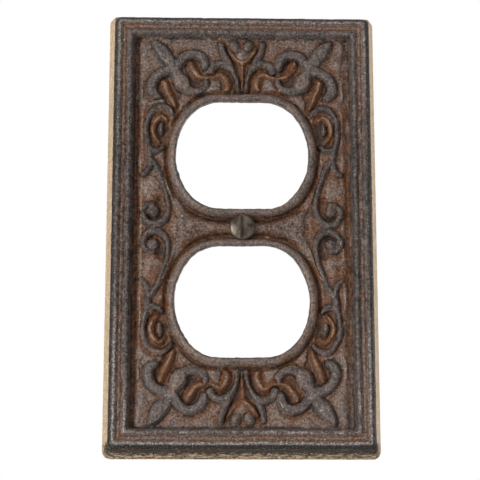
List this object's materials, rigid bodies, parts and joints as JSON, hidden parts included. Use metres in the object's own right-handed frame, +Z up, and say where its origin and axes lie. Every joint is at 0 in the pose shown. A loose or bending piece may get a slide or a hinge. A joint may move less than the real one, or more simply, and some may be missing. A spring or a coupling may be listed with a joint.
{
  "type": "duplex outlet cover plate",
  "caption": "Cast iron cover plate for a duplex outlet: rolled border, scroll and fleur-de-lis relief, paired receptacle openings and a central oval head screw.",
  "frame": {"origin": "on the wall plane behind the plate, on the axis of the screw hole", "axes": "+Z up the long side of the plate, +Y into the wall along the screw, +X to the right as seen from the room; the front faces -Y"},
  "size_m": [0.0694, 0.0137, 0.1158],
  "materials": {
    "cast_iron": "rust-brown wash in the recesses, worn grey iron on the raised work",
    "bronzed_steel": "dark bronzed, lightly worn"
  },
  "bodies": {
    "plate": {"cover_plate": "cast_iron"},
    "screw": {"mounting_screw": "bronzed_steel"}
  },
  "joints": [
    {"name": "screw_withdraw", "type": "slide", "parent": "plate", "child": "screw", "axis": [0, -1, 0], "range_m": [0, 0.015]}
  ]
}
